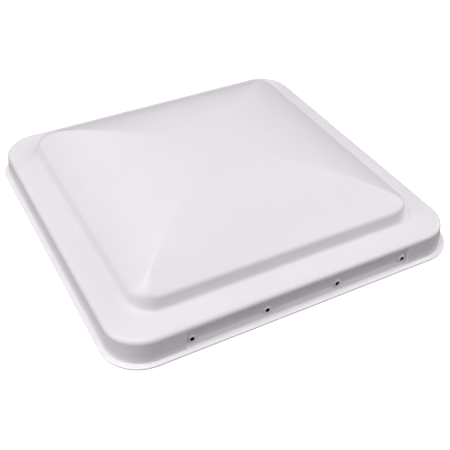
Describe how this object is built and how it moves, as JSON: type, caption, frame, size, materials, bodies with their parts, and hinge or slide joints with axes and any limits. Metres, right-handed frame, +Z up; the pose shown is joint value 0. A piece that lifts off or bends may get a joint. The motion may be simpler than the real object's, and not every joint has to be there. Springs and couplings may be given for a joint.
{
  "type": "roof vent cover",
  "caption": "Square moulded lid for a roof vent, with a stepped shallow dome, turned-out lip, riveted pin hinge on one side and a lift track with slider under the dome.",
  "frame": {"origin": "centre of the lid in plan, on the plane of the lip's underside", "axes": "+Z up through the dome; -Y towards the hinge side; +X along the hinge pin; the side that lifts faces +Y"},
  "size_m": [0.406, 0.406, 0.079],
  "materials": {
    "white_polypropylene": "moulded white polypropylene, satin gloss",
    "white_rivet": "white-painted aluminium blind rivet",
    "dark_steel": "darkened broken-off mandrel end",
    "zinc_steel": "zinc plated",
    "bright_steel": "bright drawn stainless",
    "mill_aluminium": "mill finish, faint drawing lines",
    "natural_nylon": "natural nylon",
    "black_foam": "closed-cell foam with a skin"
  },
  "bodies": {
    "lid": {"lid_shell": "white_polypropylene", "weather_seal": "black_foam", "hinge_leaf_lid": "mill_aluminium", "hinge_pin": "bright_steel", "hinge_rivet_1": "white_rivet", "hinge_rivet_2": "white_rivet", "hinge_rivet_3": "white_rivet", "hinge_rivet_4": "white_rivet", "rivet_mandrel_1": "dark_steel", "rivet_mandrel_2": "dark_steel", "rivet_mandrel_3": "dark_steel", "rivet_mandrel_4": "dark_steel", "lift_track": "mill_aluminium", "track_screw_1": "zinc_steel", "track_screw_2": "zinc_steel", "track_screw_3": "zinc_steel", "track_screw_4": "zinc_steel"},
    "roof_leaf": {"hinge_leaf_roof": "mill_aluminium"},
    "slider": {"lift_slider": "natural_nylon"},
    "stud": {"slider_stud": "bright_steel"}
  },
  "joints": [
    {"name": "roof_hinge", "type": "hinge", "parent": "lid", "child": "roof_leaf", "pos_m": [0.0018, -0.1887, 0.0044], "axis": [-1, 0, 0], "range_deg": [0, 90]},
    {"name": "lift_slide", "type": "slide", "parent": "lid", "child": "slider", "axis": [1, 0, 0], "range_m": [-0.085, 0.085]},
    {"name": "stud_swivel", "type": "hinge", "parent": "slider", "child": "stud", "pos_m": [0, 0.118, 0.0433], "axis": [0, 0, 1], "continuous": true}
  ]
}
